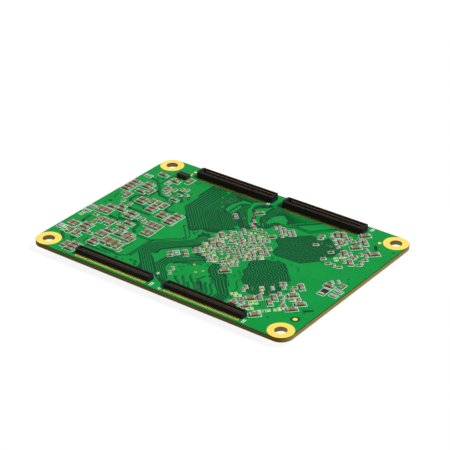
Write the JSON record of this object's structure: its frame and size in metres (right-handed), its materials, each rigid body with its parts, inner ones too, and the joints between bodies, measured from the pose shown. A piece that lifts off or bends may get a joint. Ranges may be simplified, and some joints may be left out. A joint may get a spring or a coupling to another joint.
{
  "type": "system on module",
  "caption": "Small computer module: a green circuit board with slotted board-to-board connectors, fine capacitors round a turned processor, and a plated screw hole at each corner.",
  "frame": {"origin": "centre of the four screw holes, on the board's connector side", "axes": "+Z out of the connector side, X along the board's long side, +Y towards the wide connectors"},
  "size_m": [0.07, 0.0508, 0.0039],
  "materials": {
    "board": "glossy green solder mask",
    "gold_plating": "gold plated copper",
    "housing_plastic": "black glass-filled polymer",
    "contact_gold": "gold plated bronze",
    "tin_plating": "tin plated",
    "brown_ceramic": "fired ceramic",
    "grey_ceramic": "fired ferrite",
    "black_moulding": "moulded epoxy",
    "green_laminate": "laminate",
    "nickel_plate": "nickel plated",
    "dark_ferrite": "moulded ferrite"
  },
  "bodies": {
    "root": {"boot_memory_chip": "black_moulding", "capacitors_centre_bodies": "brown_ceramic", "capacitors_centre_ends": "tin_plating", "capacitors_left_bodies": "brown_ceramic", "capacitors_left_ends": "tin_plating", "capacitors_right_bodies": "brown_ceramic", "capacitors_right_ends": "tin_plating", "circuit_board": "board", "clock_crystals": "nickel_plate", "contacts_back_left_far": "contact_gold", "contacts_back_left_near": "contact_gold", "contacts_back_right_far": "contact_gold", "contacts_back_right_near": "contact_gold", "contacts_front_left_far": "contact_gold", "contacts_front_left_near": "contact_gold", "contacts_front_right_far": "contact_gold", "contacts_front_right_near": "contact_gold", "ferrite_beads": "grey_ceramic", "hidden_side_capacitors": "brown_ceramic", "housing_back_left": "housing_plastic", "housing_back_right": "housing_plastic", "housing_front_left": "housing_plastic", "housing_front_right": "housing_plastic", "large_resistor": "black_moulding", "memory_chip_lower": "black_moulding", "memory_chip_upper": "black_moulding", "mounting_hole_rings": "gold_plating", "network_chip": "black_moulding", "power_chip": "black_moulding", "power_coils": "dark_ferrite", "processor_lid": "nickel_plate", "processor_substrate": "green_laminate", "regulator_body": "black_moulding", "regulator_leads": "tin_plating", "small_chips_centre": "brown_ceramic", "small_chips_left": "brown_ceramic", "small_chips_right": "brown_ceramic", "storage_chip": "black_moulding"}
  },
  "joints": []
}
